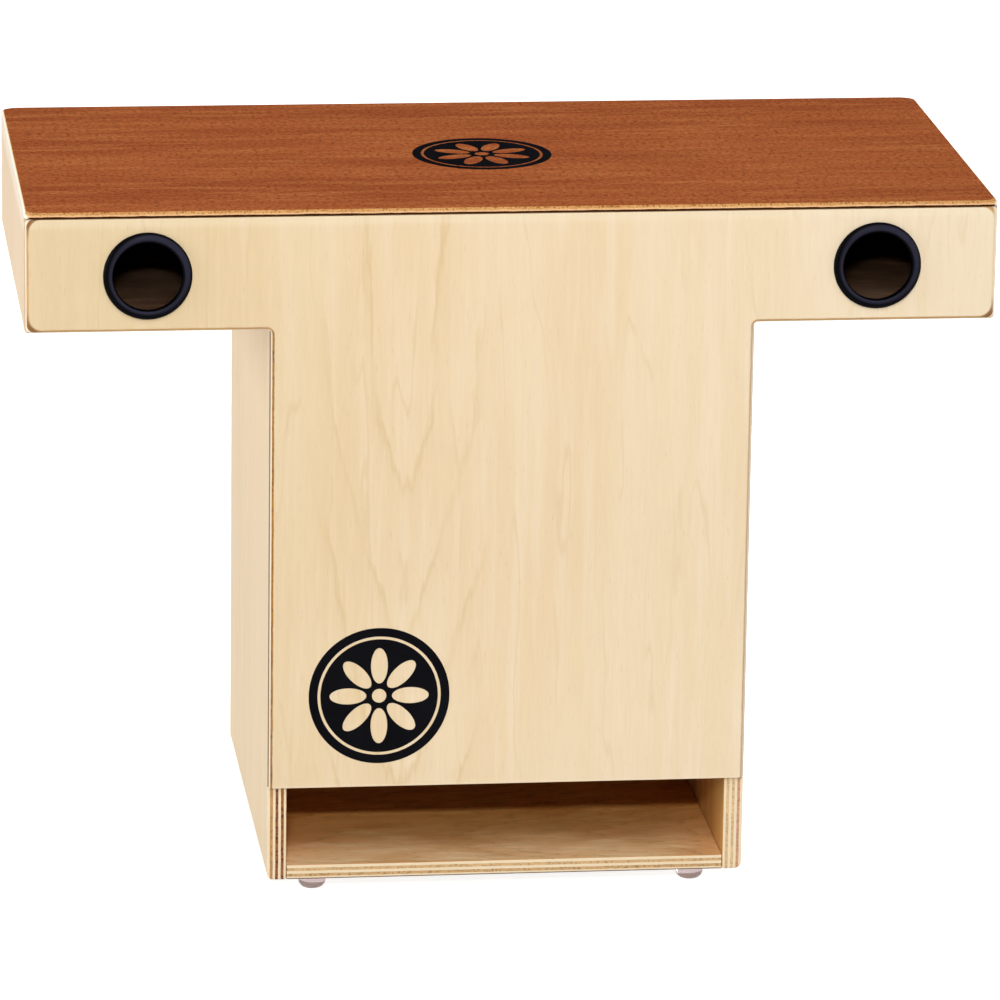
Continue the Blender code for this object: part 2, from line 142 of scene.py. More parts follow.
surface_low, surface_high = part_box("playing_surface")
front_low, front_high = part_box("front_panel")
back_low, back_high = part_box("back_panel")
stem_low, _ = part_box("stem_side_left")
wing_low, wing_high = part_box("wing_end_left")
floor_low, floor_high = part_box("bottom_panel")
STEM_HALF = -stem_low.x
WING_HALF = -wing_low.x
WING_UNDERSIDE = wing_low.z
BOARD_FRONT = stem_low.y
PANEL_INSET = WING_HALF - front_high.x
FLOOR_BOARD = floor_high.z - floor_low.z


def srgb(red, green, blue):
    """A colour of 0 to 255 values, in linear light."""
    linear = []
    for value in (red, green, blue):
        value /= 255
        linear.append(value / 12.92 if value <= 0.04045 else ((value + 0.055) / 1.055) ** 2.4)
    return (*linear, 1.0)


class Value:
    """A node's output, which adds to and multiplies with numbers and other outputs."""

    def __init__(self, nodes, socket):
        self.nodes = nodes
        self.socket = socket

    def __add__(self, other):
        return self.nodes.math("ADD", self, other)

    def __sub__(self, other):
        return self.nodes.math("SUBTRACT", self, other)

    def __mul__(self, other):
        return self.nodes.math("MULTIPLY", self, other)

    def __truediv__(self, other):
        return self.nodes.math("DIVIDE", self, other)


class Tree:
    """Adds nodes to a tree. An input is given a plain value or another node's output."""

    def __init__(self, tree):
        self.tree = tree

    def set(self, node, inputs):
        for name, value in inputs.items():
            if isinstance(value, Value):
                self.tree.links.new(value.socket, node.inputs[name])
            else:
                node.inputs[name].default_value = value

    def add(self, kind, inputs=None, give=0, **settings):
        """The output of a new node that give names, or a list of them for a tuple of names."""
        made = self.tree.nodes.new(kind)
        for name, value in settings.items():
            setattr(made, name, value)
        self.set(made, inputs or {})
        if isinstance(give, tuple):
            return [Value(self, made.outputs[name]) for name in give]
        return Value(self, made.outputs[give])

    def math(self, operation, *values):
        return self.add("ShaderNodeMath", dict(enumerate(values)), operation=operation)

    def vector(self, x, y, z):
        return self.add("ShaderNodeCombineXYZ", {"X": x, "Y": y, "Z": z})

    def split(self, vector):
        return self.add("ShaderNodeSeparateXYZ", {"Vector": vector}, ("X", "Y", "Z"))

    def noise(self, vector, scale=1.0, detail=2.0, roughness=0.5):
        return self.add("ShaderNodeTexNoise", {"Vector": vector, "Scale": scale, "Detail": detail,
                                               "Roughness": roughness})

    def bump(self, height, strength, distance):
        return self.add("ShaderNodeBump", {"Height": height, "Strength": strength, "Distance": distance})

    def step(self, value, low, high, to_low=0.0, to_high=1.0):
        """Rises smoothly from to_low to to_high while the value goes from low to high."""
        return self.add("ShaderNodeMapRange", {"Value": value, "From Min": low, "From Max": high,
                                               "To Min": to_low, "To Max": to_high},
                        interpolation_type="SMOOTHSTEP")

    def mix(self, factor, first, second, blend="MIX"):
        return self.add("ShaderNodeMix", {0: factor, 6: first, 7: second}, 2, data_type="RGBA",
                        blend_type=blend)

    def ramp(self, value, stops, interpolation="LINEAR"):
        """stops are (position, grey value or colour)."""
        made = self.tree.nodes.new("ShaderNodeValToRGB")
        self.set(made, {"Fac": value})
        ramp = made.color_ramp
        ramp.interpolation = interpolation
        while len(ramp.elements) < len(stops):
            ramp.elements.new(1.0)
        for element, (position, shade) in zip(ramp.elements, stops):
            element.position = position
            element.color = shade if isinstance(shade, tuple) else (shade, shade, shade, 1.0)
        return Value(self, made.outputs["Color"])

    def join(self, *parts):
        made = self.tree.nodes.new("GeometryNodeJoinGeometry")
        for part in parts:
            self.set(made, {"Geometry": part})
        return Value(self, made.outputs["Geometry"])


SOCKETS = {int: "NodeSocketInt", float: "NodeSocketFloat", tuple: "NodeSocketVector"}


def node_group(name, kind, inputs, outputs):
    """A node group. Its inputs are given by a default value or a type, and its outputs by their types."""
    group = bpy.data.node_groups.new(name, kind)
    for label, given in inputs.items():
        socket_type = given if isinstance(given, str) else SOCKETS[type(given)]
        socket = group.interface.new_socket(label, in_out="INPUT", socket_type=socket_type)
        if socket_type != given:
            socket.default_value = given
    for label, socket_type in outputs.items():
        group.interface.new_socket(label, in_out="OUTPUT", socket_type=socket_type)
    nodes = Tree(group)
    source = dict(zip(inputs, nodes.add("NodeGroupInput", give=tuple(inputs))))
    return group, nodes, source, group.nodes.new("NodeGroupOutput")


def place_group(nodes, group, inputs):
    """The outputs of a placed group, by name."""
    labels = tuple(item.name for item in group.interface.items_tree if item.in_out == "OUTPUT")
    return dict(zip(labels, nodes.add("ShaderNodeGroup", inputs, labels, node_tree=group)))


def make_grain_group():
    """Figure of a flat-sawn veneer, as masks. Widths are measured across the grain, lengths along it."""
    inputs = {"Across": 0.0, "Along": 0.0, "Seed": 0.0, "Fibre Width": 0.001, "Fibre Length": 0.06,
              "Streak Width": 0.004, "Streak Length": 0.03, "Cloud Width": 0.06, "Cloud Length": 0.25,
              "Fleck Width": 0.0009, "Fleck Length": 0.007, "Fleck Threshold": 0.66, "Vein Width": 0.03,
              "Vein Length": 0.25, "Ring Spacing": 0.05, "Heart": 0.0, "Slope": 5.0, "Tip": 0.0,
              "Straight Above": 10.0, "Reach": 10.0, "Last Ring": 1000.0, "Wobble": 0.03}
    outputs = dict.fromkeys(("Fibre", "Streaks", "Clouds", "Flecks", "Veins", "Rings"), "NodeSocketFloat")
    group, nodes, source, sink = node_group("veneer grain", "ShaderNodeTree", inputs, outputs)

    def stretched(width, length, shift, detail, roughness=0.5):
        place = nodes.vector(source["Across"] / width, source["Along"] / length, source["Seed"] + shift)
        return nodes.noise(place, detail=detail, roughness=roughness)

    def named(label, *settings):
        return stretched(source[label + " Width"], source[label + " Length"], *settings)

    fibre = named("Fibre", 0.0, 4, 0.7)
    streaks = named("Streak", 11.0, 3, 0.6)
    threshold = source["Fleck Threshold"]
    flecks = nodes.step(named("Fleck", 37.0, 1), threshold, threshold + 0.08)

    # Thin lines that wander along the grain and come and go
    off_vein = nodes.math("ABSOLUTE", named("Vein", 53.0, 3, 0.45) - 0.5)
    veins = nodes.step(off_vein, 0.018, 0.0) * nodes.step(streaks, 0.40, 0.62)

    # Arches of late wood, stacked round the heart, steeper above a height and fading at the sides
    from_heart = source["Across"] - source["Heart"]
    spread = nodes.math("SQRT", from_heart * from_heart + HEART_WIDTH ** 2)
    over = nodes.math("MAXIMUM", source["Along"] - source["Straight Above"], 0.0)
    height = source["Along"] - over * 0.75 - source["Tip"] - (spread - HEART_WIDTH) * source["Slope"]
    sway = stretched(0.035, 0.14, 41.0, 3) - 0.5
    shiver = stretched(0.0035, 0.030, 47.0, 2) - 0.5
    height = height + (sway + shiver * 0.45) * source["Wobble"]
    rings_in = height / source["Ring Spacing"] + LATE_WOOD
    late_wood = nodes.ramp(nodes.math("FRACT", rings_in), [(0.0, 0.0), (0.55, 0.06), (0.83, 0.28),
                                                           (LATE_WOOD, 1.0), (0.97, 0.45), (1.0, 0.0)])
    patch = nodes.noise(nodes.vector(nodes.math("FLOOR", rings_in) * 7.3, source["Along"] / 0.09,
                                     source["Seed"]), detail=1)
    near_heart = nodes.step(spread, source["Reach"], source["Reach"] * 0.6)
    counted = nodes.math("LESS_THAN", rings_in, source["Last Ring"] + 1.0)
    rings = late_wood * nodes.step(patch, 0.30, 0.62, 0.15, 1.0) * near_heart * counted
    nodes.set(sink, {"Fibre": fibre, "Streaks": streaks, "Clouds": named("Cloud", 23.0, 2),
                     "Flecks": flecks, "Veins": veins, "Rings": rings})
    return group


def make_speckle_group():
    """Dark specks and broad tone of plies that are cut across their grain."""
    inputs = {"Vector": (0.0, 0.0, 0.0), "Seed": 0.0, "Speck": 0.0009, "Threshold": 0.50}
    group, nodes, source, sink = node_group("end grain specks", "ShaderNodeTree", inputs,
                                            {"Specks": "NodeSocketFloat", "Tone": "NodeSocketFloat"})
    x, y, z = [value / source["Speck"] for value in nodes.split(source["Vector"])]
    place = nodes.vector(x, y, z + source["Seed"])
    specks = nodes.noise(place, detail=3, roughness=0.7)
    nodes.set(sink, {"Specks": nodes.step(specks, source["Threshold"], source["Threshold"] + 0.10),
                     "Tone": nodes.noise(place, scale=0.11)})
    return group


grain_group = make_grain_group()
speckle_group = make_speckle_group()


def new_material(name):
    """A material, the tool that adds its nodes, and its Principled shader."""
    material = bpy.data.materials.new(name)
    material.use_nodes = True
    return material, Tree(material.node_tree), material.node_tree.nodes["Principled BSDF"]


def tones(*colours):
    """Tones of a veneer: its face, its clouds, its lighter streaks, its late wood and its flecks."""
    return dict(zip(("face", "cloud", "blush", "ring", "fleck"), (srgb(*colour) for colour in colours)))


MAPLE = tones((239, 215, 178), (237, 211, 171), (241, 218, 184), (210, 174, 106), (198, 164, 112))
SIDE_MAPLE = tones((236, 212, 175), (234, 208, 168), (238, 217, 184), (220, 192, 150), (206, 176, 132))
BIRCH = tones((226, 171, 101), (210, 150, 82), (234, 186, 118), (150, 92, 42), (150, 94, 44))
# Painted shade: birch darkened for the wing floors' upper faces inside the box
SHADED_BIRCH = tones((112, 88, 68), (84, 58, 40), (120, 90, 66), (66, 44, 30), (52, 34, 24))
MAHOGANY = tones((167, 92, 52), (154, 81, 46), (178, 105, 60), (138, 68, 40), (116, 56, 34))
SPRUCE = tones((222, 186, 134), (212, 172, 116), (228, 192, 146), (176, 128, 74), (170, 124, 76))

MAPLE_GRAIN = {"Fibre Width": 0.0018, "Fibre Length": 0.025, "Streak Width": 0.009, "Streak Length": 0.20,
               "Cloud Width": 0.06, "Cloud Length": 0.30, "Fleck Width": 0.0008, "Fleck Length": 0.010,
               "Fleck Threshold": 0.68, "Ring Spacing": 0.103, "Slope": 3.8, "Tip": 0.267,
               "Straight Above": 0.310, "Reach": 0.060, "Last Ring": 0.0, "Wobble": 0.070}
BIRCH_GRAIN = {"Fibre Width": 0.0012, "Fibre Length": 0.05, "Streak Width": 0.010, "Streak Length": 0.05,
               "Cloud Width": 0.05, "Cloud Length": 0.10, "Fleck Width": 0.0012, "Fleck Length": 0.010,
               "Fleck Threshold": 0.64, "Ring Spacing": 0.030, "Slope": 2.2, "Wobble": 0.09}
MAHOGANY_GRAIN = {"Fibre Width": 0.0036, "Fibre Length": 0.0026, "Streak Width": 0.009,
                  "Streak Length": 0.10, "Cloud Width": 0.034, "Cloud Length": 0.40, "Fleck Width": 0.0032,
                  "Fleck Length": 0.0036, "Fleck Threshold": 0.57, "Vein Width": 0.022, "Vein Length": 0.16,
                  "Ring Spacing": 0.16, "Slope": 9.0, "Wobble": 0.30}
SPRUCE_GRAIN = {**MAPLE_GRAIN, "Ring Spacing": 0.014, "Reach": 10.0, "Straight Above": 10.0,
                "Last Ring": 1000.0}

# Crossing plies of the boards, from the outer face inwards, each with the strength of its dark specks
LEFT_PLIES = [(srgb(206, 152, 92), 0.35), (srgb(158, 94, 52), 1.0), (srgb(162, 102, 52), 0.9)]
RIGHT_PLIES = [(srgb(216, 164, 132), 0.35), (srgb(232, 198, 150), 0.30), (srgb(230, 194, 144), 0.30)]
FLOOR_PLIES = [(srgb(226, 184, 130), 0.35), (srgb(218, 174, 120), 0.45)]


class Board:
    """Places on a board for its material: across and along the grain, and depth inwards from one face."""

    def __init__(self, nodes, axes, face, inwards):
        coordinates = nodes.add("ShaderNodeTexCoord", give=("Object", "Normal"))
        place, facing = [dict(zip("XYZ", nodes.split(vector))) for vector in coordinates]
        self.nodes = nodes
        self.across, self.along, through = [place[axis] for axis in axes]
        self.to_along, self.to_through = [nodes.math("ABSOLUTE", facing[axis]) for axis in axes[1:]]
        self.depth = (through - face) * inwards
        self.place = nodes.vector(self.across, self.along, through)

    def masks(self, seed, grain, heart=0.0):
        """The grain group's masks of the board's figure."""
        places = {"Across": self.across, "Along": self.along, "Seed": seed, "Heart": heart}
        return place_group(self.nodes, grain_group, {**places, **grain})

    def specks(self, seed, size):
        return place_group(self.nodes, speckle_group, {"Vector": self.place, "Seed": seed, "Speck": size})

    def waver(self, reach, where):
        """The depth, with plies that wander a little where they are cut."""
        ripple = self.nodes.noise(self.place, scale=110.0, detail=3) - 0.5
        return ripple * where * (4.0 * reach) + self.depth


def between(nodes, value, low, high, blur):
    """1 where the value lies between low and high."""
    return nodes.step(value, low - blur, low + blur) * nodes.step(value, high - blur, high + blur, 1.0, 0.0)


def veneer_colour(nodes, masks, wood, fibre, flecks, rings):
    """The colour of a veneered face. fibre, flecks and rings say how much of those masks shows."""
    colour = nodes.mix(nodes.step(masks["Clouds"], 0.38, 0.62), wood["face"], wood["cloud"])
    colour = nodes.mix(nodes.step(masks["Streaks"], 0.42, 0.72), colour, wood["blush"])
    figure = nodes.math("MAXIMUM", masks["Rings"], masks["Veins"] * 0.6)
    colour = nodes.mix(figure * rings, colour, wood["ring"])
    light = (masks["Fibre"] - 0.5) * fibre + 1.0
    colour = nodes.mix(1.0, colour, light, "MULTIPLY")
    return nodes.mix(masks["Flecks"] * flecks, colour, wood["fleck"])


def finish_veneer(nodes, shader, masks, colour, roughness, relief, specular=LACQUER_SPECULAR):
    """Satin lacquer over open grain."""
    height = masks["Fibre"] * 0.5 - masks["Flecks"]
    nodes.set(shader, {"Base Color": colour, "Roughness": masks["Fibre"] * 0.14 + (roughness - 0.07),
                       "Normal": nodes.bump(height, strength=relief, distance=0.0002),
                       "Specular IOR Level": specular})


def crossband_colour(nodes, board, specks):
    """A panel's crossband is brown along the stem, and golden on the wings but for their corners."""
    brown = nodes.mix(specks["Tone"], srgb(198, 138, 40), srgb(112, 72, 10))
    brown = nodes.mix(specks["Specks"] * 0.6, brown, srgb(84, 46, 14))
    brown = nodes.mix(nodes.step(board.across, -0.01, 0.01), brown, srgb(202, 168, 128))
    golden = nodes.mix(specks["Tone"], srgb(214, 172, 110), srgb(182, 132, 74))
    golden = nodes.mix(nodes.step(board.across, WING_HALF - 0.004, WING_HALF - 0.002), golden,
                       srgb(236, 214, 176))
    upper_left = nodes.step(board.across, 0.01, -0.01) * nodes.step(
        board.along, front_high.z - 0.014, front_high.z - 0.004)
    at_corner = nodes.math("MAXIMUM", upper_left,
                           nodes.step(board.along, WING_UNDERSIDE + 0.018, WING_UNDERSIDE + 0.004))
    on_end = nodes.step(nodes.math("ABSOLUTE", board.across), WING_HALF - 0.012, WING_HALF - 0.005)
    golden = nodes.mix(at_corner * on_end, golden, srgb(140, 96, 48))
    on_wing = nodes.math("MAXIMUM", nodes.step(board.to_along, 0.15, 0.40),
                         nodes.step(board.along, WING_UNDERSIDE - 0.001, WING_UNDERSIDE + 0.001))
    return nodes.mix(on_wing, brown, golden)


def maple_panel(name, face, inwards, lower_edge, seed, heart):
    """A thin panel: face veneer, a brown crossband that shows along the sanded arris, and a pale core."""
    material, nodes, shader = new_material(name)
    board = Board(nodes, FACING_FRONT, face, inwards)
    masks = board.masks(seed, MAPLE_GRAIN, heart)
    colour = veneer_colour(nodes, masks, MAPLE, fibre=0.13, flecks=0.25, rings=0.38)
    # Painted light: the face is made lighter and bluer to the right and towards its lower edge, and darker
    # and yellower to the left
    for place, (start, end), tint in ((board.across, (0.0, WING_HALF), (1.03, 1.08, 1.16, 1.0)),
                                      (board.across, (0.0, -WING_HALF), (0.90, 0.88, 0.79, 1.0)),
                                      (board.along, (0.26, lower_edge), (1.05, 1.065, 1.095, 1.0))):
        colour = nodes.mix(nodes.step(place, start, end), colour, tint, "MULTIPLY")
    # Painted highlight: pale bands along the face's upper and lower edges
    upper_highlight = nodes.step(board.along, front_high.z - 0.008, front_high.z - 0.003)
    lower_highlight = nodes.step(board.along, lower_edge + 0.0022, lower_edge + 0.0012)
    colour = nodes.mix((upper_highlight + lower_highlight) * 0.30, colour, srgb(250, 234, 204))

    # The core and its crossband, where they are cut
    on_arris = nodes.step(board.to_through, 0.985, 0.955)
    specks = board.specks(seed, size=0.0022)
    # The cut core is pale wood; its near-white tone is partly a painted highlight on the arris
    core = nodes.mix(specks["Tone"], srgb(240, 214, 178), srgb(254, 243, 222))
    colour = nodes.mix(on_arris, colour, core)
    in_crossband = between(nodes, board.waver(reach=0.00006, where=on_arris), *CROSSBAND, CROSSBAND_BLUR)
    colour = nodes.mix(in_crossband, colour, crossband_colour(nodes, board, specks))
    finish_veneer(nodes, shader, masks, colour, roughness=0.42, relief=0.10)
    return material


def for_each_ply(nodes, place, values):
    """One value or colour for each crossing ply, by the place in the board's thickness, from 0 to 1."""
    plies = 2 * len(values) + 1
    return nodes.ramp(place, [(2 * index / plies, value) for index, value in enumerate(values)], "CONSTANT")


def cut_plies(nodes, masks, specks, depth, thickness, crossing_plies):
    """The colour where a board is cut: its odd plies run along the grain, and the others are specked."""
    in_plies = depth / (thickness / (2 * len(crossing_plies) + 1))
    crossing = nodes.math("MODULO", nodes.math("FLOOR", in_plies), 2.0)
    into_board = depth / thickness
    long_grain = nodes.mix(masks["Fibre"], srgb(243, 216, 174), srgb(253, 238, 206))
    ply_tone = for_each_ply(nodes, into_board, [tone for tone, _ in crossing_plies])
    ply_specks = for_each_ply(nodes, into_board, [strength for _, strength in crossing_plies])
    cross_grain = nodes.mix(1.0, ply_tone, specks["Tone"] * -0.55 + 1.25, "MULTIPLY")
    cross_grain = nodes.mix(specks["Specks"] * ply_specks, cross_grain, srgb(98, 52, 28), "MULTIPLY")
    layers = nodes.mix(crossing, long_grain, cross_grain)
    glue = between(nodes, nodes.math("FRACT", in_plies), low=-0.05, high=0.07, blur=0.04)
    return nodes.mix(glue * ply_specks * 0.35, layers, srgb(120, 70, 32))


def birch_board(name, wood, grain, axes, face, inwards, thickness, crossing_plies, seed, heart=0.0,
                far_wood=None, tone_and_painted_light=None, painted_shade=None):
    """A plywood board, veneered on both faces.

    far_wood has the tones of the other face. tone_and_painted_light(board, colour) changes the faces'
    colour by place, with tone and painted light, and painted_shade(board) gives a mask of a strip of
    painted shade.
    """
    material, nodes, shader = new_material(name)
    board = Board(nodes, axes, face, inwards)
    masks = board.masks(seed, grain, heart)
    colour = veneer_colour(nodes, masks, wood, fibre=0.14, flecks=0.35, rings=0.40)
    if far_wood:
        far = veneer_colour(nodes, masks, far_wood, fibre=0.22, flecks=0.45, rings=0.55)
        colour = nodes.mix(nodes.step(board.depth, thickness * 0.45, thickness * 0.55), colour, far)
    if tone_and_painted_light:
        colour = tone_and_painted_light(board, colour)

    cut = nodes.step(board.to_through, 0.85, 0.45)
    depth = board.waver(reach=0.00010, where=cut)
    specks = board.specks(seed, size=0.0016)
    colour = nodes.mix(cut, colour, cut_plies(nodes, masks, specks, depth, thickness, crossing_plies))
    # Painted shade: a dark strip along a cut edge
    if painted_shade:
        colour = nodes.mix(painted_shade(board), colour, srgb(92, 58, 32))
    finish_veneer(nodes, shader, masks, colour, roughness=0.50, relief=0.12)
    return material


def mahogany_plate(name, top, thickness, seed):
    """The playing surface: mahogany veneer on a tan core, which shows along the sanded edge."""
    material, nodes, shader = new_material(name)
    board = Board(nodes, FACING_UP, top, -1.0)
    masks = board.masks(seed, MAHOGANY_GRAIN, -0.02)
    veneer = veneer_colour(nodes, masks, MAHOGANY, fibre=1.55, flecks=0.50, rings=0.45)
    specks = board.specks(seed, size=0.0013)
    front_edge = nodes.mix(specks["Tone"], srgb(228, 176, 112), srgb(192, 130, 70))
    front_edge = nodes.mix(specks["Specks"] * 0.75, front_edge, srgb(112, 60, 24))
    depth = board.waver(reach=0.00022, where=nodes.step(board.to_through, 0.95, 0.60))
    front_edge = nodes.mix(nodes.step(depth, 0.0010, 0.0024, 0.0, 0.7), front_edge, srgb(255, 206, 154))
    # The edge of the lowest ply is a dark line: dark veneer, darkened further with painted shade of the gap
    # under the plate
    underside = nodes.step(depth, thickness - 0.00125, thickness - 0.00095)
    front_edge = nodes.mix(underside, front_edge, srgb(62, 30, 10))
    # Along its ends, a golden line and then the pale core, which is painted near white as a highlight
    end_edge = nodes.mix(nodes.step(depth, 0.0003, 0.0006), srgb(240, 206, 150), srgb(255, 249, 230))
    edge = nodes.mix(nodes.step(board.to_along, 0.25, 0.75), front_edge, end_edge)
    colour = nodes.mix(nodes.step(depth, 0.00018, 0.00030), veneer, edge)
    finish_veneer(nodes, shader, masks, colour, roughness=0.60, relief=0.15, specular=0.0)
    return material


def spruce_strip(name, axes, seed):
    """Planed softwood, without lacquer."""
    material, nodes, shader = new_material(name)
    masks = Board(nodes, axes, 0.0, 1.0).masks(seed, SPRUCE_GRAIN)
    colour = veneer_colour(nodes, masks, SPRUCE, fibre=0.2, flecks=0.4, rings=0.6)
    finish_veneer(nodes, shader, masks, colour, roughness=0.60, relief=0.15, specular=0.5)
    return material


# The way that a port ring's lip faces where it gets a painted highlight
SHEEN_SIDE = Vector((0.22, -1.0, 0.24)).normalized()


def rubbed(name, colour, roughness, constants, grit=900.0, spread=0.12, painted_sheen=None):
    """A plain finish whose roughness and surface vary a little: moulded plastic, plated or drawn steel.

    constants are for the Principled shader, and painted_sheen is the colour of a painted highlight where
    the piece faces SHEEN_SIDE.
    """
    material, nodes, shader = new_material(name)
    place, normal = nodes.add("ShaderNodeTexCoord", give=("Object", "Normal"))
    # A painted highlight in the base colour, where the piece faces SHEEN_SIDE
    if painted_sheen:
        facing = nodes.add("ShaderNodeVectorMath", {0: normal, 1: SHEEN_SIDE}, "Value",
                           operation="DOT_PRODUCT")
        colour = nodes.mix(nodes.step(facing, 0.84, 1.0), colour, painted_sheen)
    broad = nodes.noise(place, scale=grit / 12, detail=3)
    fine = nodes.bump(nodes.noise(place, scale=grit), strength=0.08, distance=0.0001)
    nodes.set(shader, {"Base Color": nodes.mix(1.0, colour, broad * 0.16 + 0.92, "MULTIPLY"),
                       "Roughness": broad * spread + (roughness - spread / 2),
                       "Normal": fine, **constants})
    return material


def make_ink():
    """Screen-printed ink, through which the grain of the wood telegraphs a little."""
    material, nodes, shader = new_material("printing_ink")
    place = nodes.add("ShaderNodeTexCoord", give="Object")
    # The cloud paints soft lighter patches into the ink's colour as a painted sheen, and varies its
    # roughness
    cloud = nodes.noise(place, scale=28.0)
    grain = nodes.bump(nodes.noise(place, scale=1400.0), strength=0.06, distance=0.0001)
    nodes.set(shader, {"Base Color": nodes.mix(cloud, srgb(12, 12, 15), srgb(25, 25, 29)),
                       "Roughness": cloud * 0.16 + 0.38, "Specular IOR Level": 0.0,
                       "Normal": grain})
    return material


def outline(corners):
    """Points round a closed outline of (u, v, radius) square corners, with an arc at each corner."""
    points = []
    for index, (u, v, radius) in enumerate(corners):
        here = Vector((u, v))
        way_in = (Vector(corners[index - 1][:2]) - here).normalized()
        way_out = (Vector(corners[(index + 1) % len(corners)][:2]) - here).normalized()
        centre = here + (way_in + way_out) * radius
        start = here + way_in * radius - centre
        turn = start.angle_signed(here + way_out * radius - centre)
        for step in range(CORNER_STEPS + 1):
            arm = start.copy()
            arm.rotate(Matrix.Rotation(-turn * step / CORNER_STEPS, 2))
            points.append(centre + arm)
    return points


def arris(face, edge, at, inwards, ease, steps):
    """Outlines, each with its depth, over a rounded arris from the face outline to the edge outline."""
    layers = []
    for step in range(steps + 1):
        angle = math.pi / 2 * step / steps
        points = [a.lerp(b, math.sin(angle)) for a, b in zip(face, edge)]
        layers.append((at + inwards * ease * (1 - math.cos(angle)), points))
    return layers


def bridge(data, first, second):
    for index in range(len(first)):
        after = (index + 1) % len(first)
        data.faces.new((first[index], first[after], second[after], second[index]))


def close_end(data, rim, holes):
    """Fills a rim that may have holes, and keeps the edges round the flat face sharp."""
    loops = [rim, *holes]
    edges = [data.edges.get((loop[index - 1], loop[index])) for loop in loops for index in range(len(loop))]
    if holes:
        bmesh.ops.triangle_fill(data, use_beauty=True, use_dissolve=False, edges=edges)
    else:
        data.faces.new(rim)
    for edge in edges:
        edge.smooth = False


def slab(layers, place, holes=()):
    """A solid through a stack of outlines, each with its depth. holes are (centre, radius)."""
    data = bmesh.new()
    loops = [[data.verts.new(place(point, depth)) for point in points] for depth, points in layers]
    for first, second in zip(loops, loops[1:]):
        bridge(data, first, second)
    bores = []
    for centre, radius in holes:
        circle = [centre + Vector((math.cos(angle), math.sin(angle))) * radius
                  for angle in (2 * math.pi * step / TURNED_SIDES for step in range(TURNED_SIDES))]
        ends = [[data.verts.new(place(point, layers[end][0])) for point in circle] for end in (0, -1)]
        bridge(data, *ends)
        bores.append(ends)
    close_end(data, loops[0], [near for near, _ in bores])
    close_end(data, loops[-1], [far for _, far in bores])
    return data


def turned(profile, sides, centre, turn=Matrix.Identity(4)):
    """Spins a closed profile of (radius, height) round Z, then turns and places it."""
    data = bmesh.new()
    rings = []
    for radius, height in profile:
        count = sides if radius > 0 else 1
        rings.append([data.verts.new((radius * math.cos(2 * math.pi * step / sides),
                                      radius * math.sin(2 * math.pi * step / sides), height))
                      for step in range(count)])
    for first, second in zip(rings, rings[1:] + rings[:1]):
        for step in range(sides if len(first) + len(second) > 2 else 0):
            after = (step + 1) % sides
            corners = [first[step % len(first)], first[after % len(first)],
                       second[after % len(second)], second[step % len(second)]]
            data.faces.new(list(dict.fromkeys(corners)))
    bmesh.ops.transform(data, matrix=Matrix.Translation(centre) @ turn, verts=data.verts)
    return data


def plain_mesh(obj):
    """Turns what the object's modifiers make into its own mesh, and removes the modifiers."""
    bpy.context.view_layer.update()
    evaluated = obj.evaluated_get(bpy.context.evaluated_depsgraph_get())
    mesh = bpy.data.meshes.new_from_object(evaluated)
    name, collection = obj.name, bpy.context.collection
    bpy.data.objects.remove(obj, do_unlink=True)
    made = bpy.data.objects.new(name, mesh)
    mesh.name = name
    collection.objects.link(made)
    return made


def shaded(name, data, smooth_angle=None):
    """A bmesh as an object, smooth over its curves and flat on its flats."""
    bmesh.ops.recalc_face_normals(data, faces=data.faces)
    mesh = bpy.data.meshes.new(name)
    data.to_mesh(mesh)
    data.free()
    mesh.shade_smooth()
    if smooth_angle:
        mesh.set_sharp_from_angle(angle=math.radians(smooth_angle))
    obj = bpy.data.objects.new(name, mesh)
    bpy.context.collection.objects.link(obj)
    weighted = obj.modifiers.new("weighted", "WEIGHTED_NORMAL")
    weighted.keep_sharp = True
    return plain_mesh(obj)


def fit_piece(obj, material, slot_name, *nodes):
    """Gives a finished piece its material, and has it ride on the drum in place of these CAD nodes."""
    obj.data.materials.clear()
    obj.data.materials.append(material)
    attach(obj, BODY)
    if nodes:
        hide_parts(*nodes)
    return obj


def dress(node, material):
    """Gives a CAD node, whose shape is right, a better material."""
    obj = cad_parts[node]
    obj.data.materials.clear()
    obj.data.materials.append(material)


def t_outline(lower, lower_corner, inset, top, corner):
    """The T-shaped outline of a panel as (x, z), set in from the boards' outer faces."""
    stem, half, under_wing = STEM_HALF - inset, WING_HALF - inset, WING_UNDERSIDE + inset
    notch = NOTCH_ROUND + inset
    return outline([(-stem, lower, lower_corner), (stem, lower, lower_corner), (stem, under_wing, notch),
                    (half, under_wing, corner), (half, top, corner), (-half, top, corner),
                    (-half, under_wing, corner), (-stem, under_wing, notch)])


def t_panel(name, low, high, face_y, inwards, lower_ease, lower_corner, holes=()):
    """A panel. lower_ease and lower_corner round its lower edge and that edge's ends."""
    inset, thickness = PANEL_INSET, high.y - low.y
    edge = t_outline(low.z, lower_corner, inset, high.z, CORNER_ROUND)
    face = t_outline(low.z + lower_ease, lower_corner, inset + PANEL_ROUND, high.z - PANEL_END_EASE,
                     CORNER_SANDING)
    back = t_outline(low.z + BACK_EASE, lower_corner, inset + BACK_EASE, high.z - BACK_EASE, CORNER_ROUND)
    layers = arris(face, edge, 0.0, 1, PANEL_ROUND, ARRIS_STEPS)
    layers += reversed(arris(back, edge, thickness, -1, BACK_EASE, BACK_STEPS))
    return shaded(name, slab(layers, lambda p, depth: (p.x, face_y + inwards * depth, p.y), holes))


